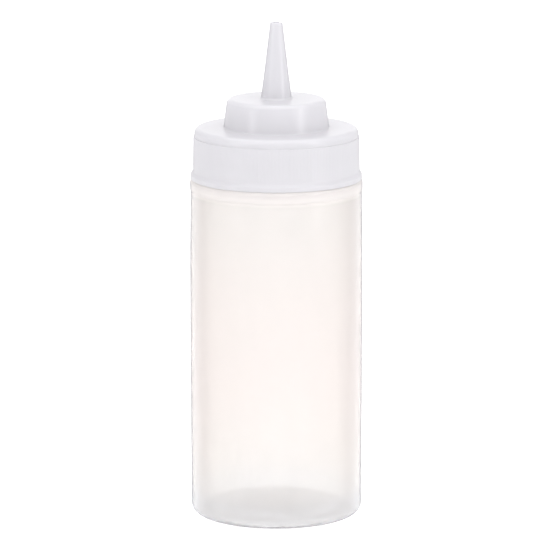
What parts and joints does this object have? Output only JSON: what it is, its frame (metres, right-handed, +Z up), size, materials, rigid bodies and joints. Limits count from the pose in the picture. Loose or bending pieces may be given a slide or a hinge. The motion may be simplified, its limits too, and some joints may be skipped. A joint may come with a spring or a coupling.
{
  "type": "wash bottle",
  "caption": "Translucent squeeze bottle with a wide threaded neck and a one-piece screw cap that ends in a straight cone tip.",
  "frame": {"origin": "centre of the standing ring, on the surface that the bottle stands on", "axes": "+Z up along the bottle's axis; X and Y are free, as the outside is round"},
  "size_m": [0.0698, 0.0698, 0.201],
  "materials": {
    "bottle_polyethylene": "natural blow-moulded polyethylene, translucent, satin",
    "cap_polyethylene": "natural injection-moulded polyethylene, cloudy, soft gloss, finely ribbed skirt",
    "washer_foam": "closed-cell foam, matt"
  },
  "bodies": {
    "bottle": {"bottle": "bottle_polyethylene"},
    "washer": {"sealing_washer": "washer_foam"},
    "cap": {"cone_cap": "cap_polyethylene"}
  },
  "joints": [
    {"name": "cap_lift", "type": "slide", "parent": "bottle", "child": "washer", "axis": [0, 0, 1], "range_m": [0, 0.018]},
    {"name": "cap_turn", "type": "hinge", "parent": "washer", "child": "cap", "pos_m": [0, 0, 0.14], "axis": [0, 0, 1], "range_deg": [0, 1530]}
  ],
  "couplings": [
    {"joint": "cap_lift", "follows": "cap_turn", "m_per_rad": 0.00067376}
  ]
}
